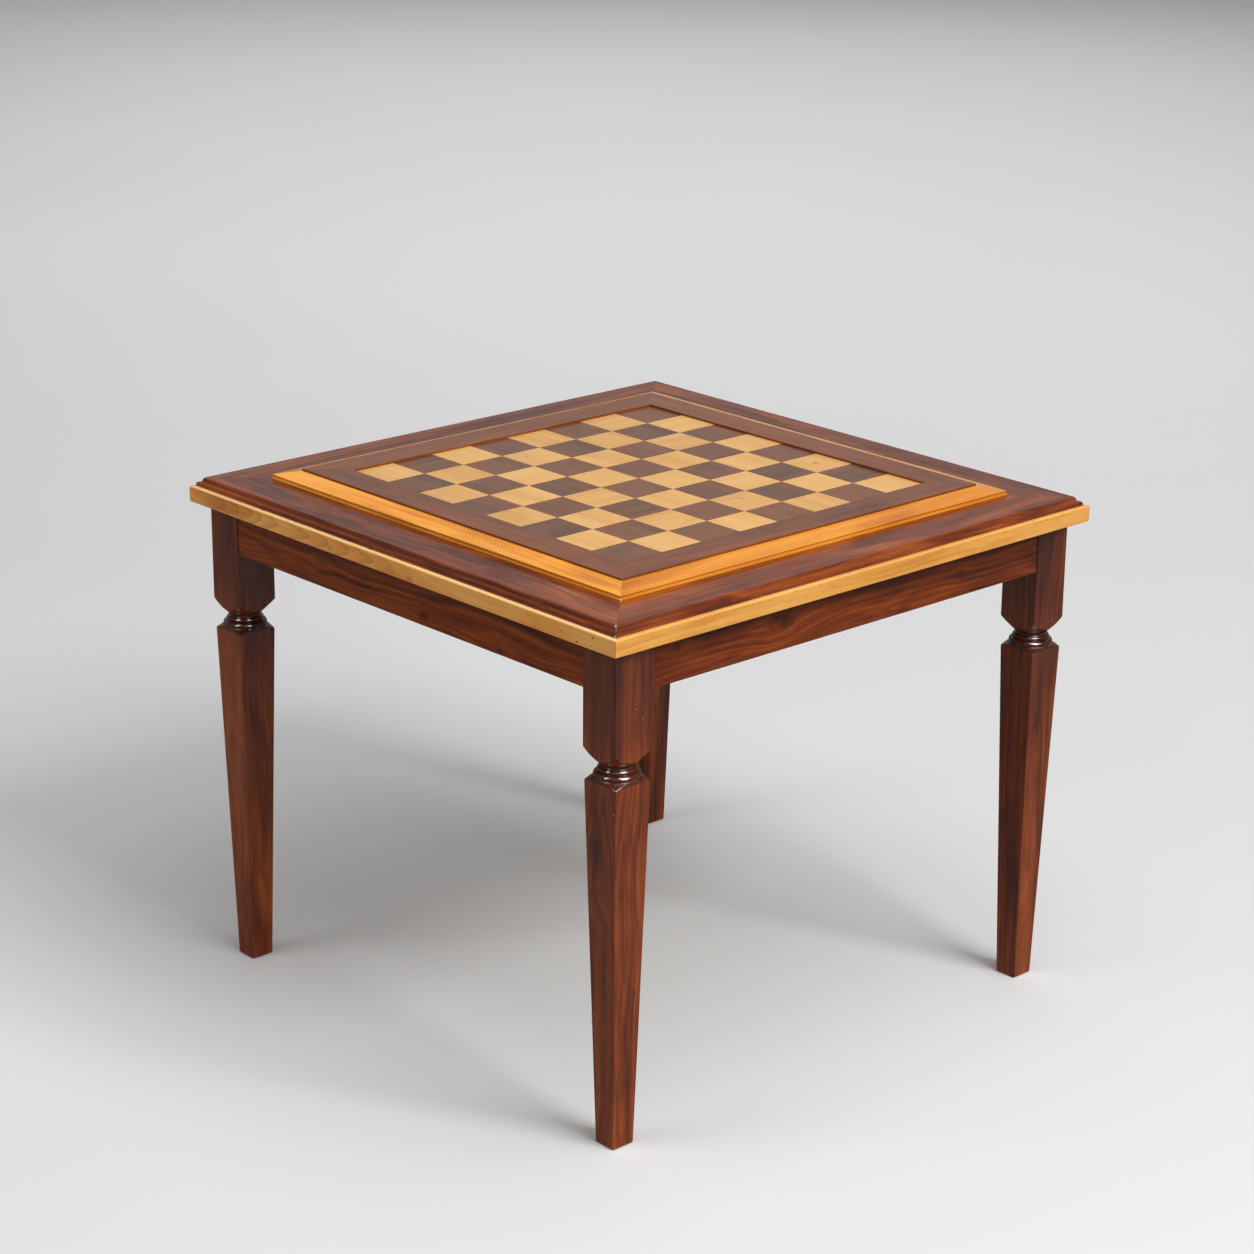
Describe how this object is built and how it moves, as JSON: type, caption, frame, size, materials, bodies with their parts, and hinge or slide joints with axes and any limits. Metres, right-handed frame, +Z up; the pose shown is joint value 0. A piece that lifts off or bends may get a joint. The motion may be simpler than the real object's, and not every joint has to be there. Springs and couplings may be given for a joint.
{
  "type": "chess table",
  "caption": "Square chess table with an inlaid chequer board that lifts off a shallow well, on turned and tapered legs.",
  "frame": {"origin": "on the floor under the middle of the table", "axes": "+Z up, -Y the front, +X the right"},
  "size_m": [0.72, 0.72, 0.6],
  "materials": {
    "rosewood_leg": "gloss lacquer",
    "rosewood_apron": "gloss lacquer",
    "rosewood_rail": "gloss lacquer",
    "rosewood_frame": "gloss lacquer",
    "dark_inlay": "gloss lacquer",
    "light_inlay": "gloss lacquer",
    "pale_moulding": "gloss lacquer",
    "pale_band": "gloss lacquer",
    "tray_wood": "satin lacquer",
    "birch_ply": "sanded",
    "beech": "sanded",
    "steel_screw": "brushed",
    "green_baize": "felted wool"
  },
  "bodies": {
    "table": {"leg_front_left": "rosewood_leg", "leg_front_right": "rosewood_leg", "leg_back_left": "rosewood_leg", "leg_back_right": "rosewood_leg", "apron_front": "rosewood_apron", "apron_back": "rosewood_apron", "apron_left": "rosewood_apron", "apron_right": "rosewood_apron", "corner_block_front_left": "beech", "corner_block_front_right": "beech", "corner_block_back_left": "beech", "corner_block_back_right": "beech", "corner_block_screws": "steel_screw", "band_front": "pale_band", "band_back": "pale_band", "band_left": "pale_band", "band_right": "pale_band", "top_rail_front": "rosewood_rail", "top_rail_back": "rosewood_rail", "top_rail_left": "rosewood_rail", "top_rail_right": "rosewood_rail", "rail_splines": "beech", "band_splines": "beech", "top_screws": "steel_screw", "button_screws": "steel_screw", "top_buttons": "beech", "tray_side_front": "tray_wood", "tray_side_back": "tray_wood", "tray_side_left": "tray_wood", "tray_side_right": "tray_wood", "tray_floor": "birch_ply", "tray_baize": "green_baize", "tray_blocks": "beech", "tray_pins": "steel_screw"},
    "board": {"board_core": "birch_ply", "board_moulding_front": "pale_moulding", "board_moulding_back": "pale_moulding", "board_moulding_left": "pale_moulding", "board_moulding_right": "pale_moulding", "board_frame_front": "rosewood_frame", "board_frame_back": "rosewood_frame", "board_frame_left": "rosewood_frame", "board_frame_right": "rosewood_frame", "board_tongues": "beech", "light_squares": "light_inlay", "dark_squares": "dark_inlay"}
  },
  "joints": [
    {"name": "board_lift", "type": "slide", "parent": "table", "child": "board", "axis": [0, 0, 1], "range_m": [0, 0.12]}
  ]
}
